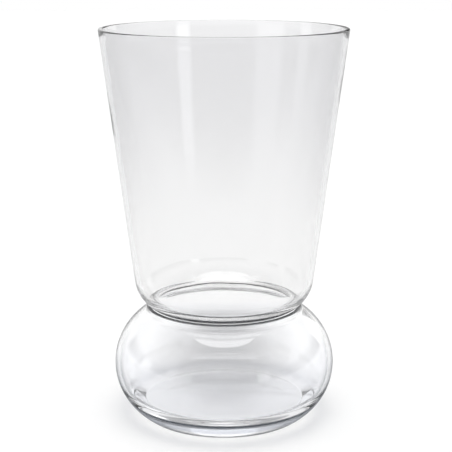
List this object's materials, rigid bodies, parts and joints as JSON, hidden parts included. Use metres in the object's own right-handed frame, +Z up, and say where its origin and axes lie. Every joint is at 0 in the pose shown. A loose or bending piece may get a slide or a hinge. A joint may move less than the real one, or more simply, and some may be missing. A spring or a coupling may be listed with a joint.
{
  "type": "hyacinth forcing vase",
  "caption": "Clear glass bulb forcing vase: a tall tapered cup, open at its ring-shaped foot, rests in the collar of a squat round water bowl.",
  "frame": {"origin": "middle of the bowl's flat base, on the table", "axes": "+Z up along the vase's axis, towards the cup's rim; the vase is round, so +X and +Y are any two level directions"},
  "size_m": [0.0998, 0.0998, 0.16],
  "materials": {
    "bowl_glass": "clear blown glass, thicker and faintly cool towards the base",
    "cup_glass": "clear blown glass with a fire-polished rim"
  },
  "bodies": {
    "water_bowl": {"water_bowl": "bowl_glass"},
    "forcing_cup": {"forcing_cup": "cup_glass"}
  },
  "joints": [
    {"name": "cup_lift", "type": "slide", "parent": "water_bowl", "child": "forcing_cup", "axis": [0, 0, 1], "range_m": [0, 0.06]}
  ]
}
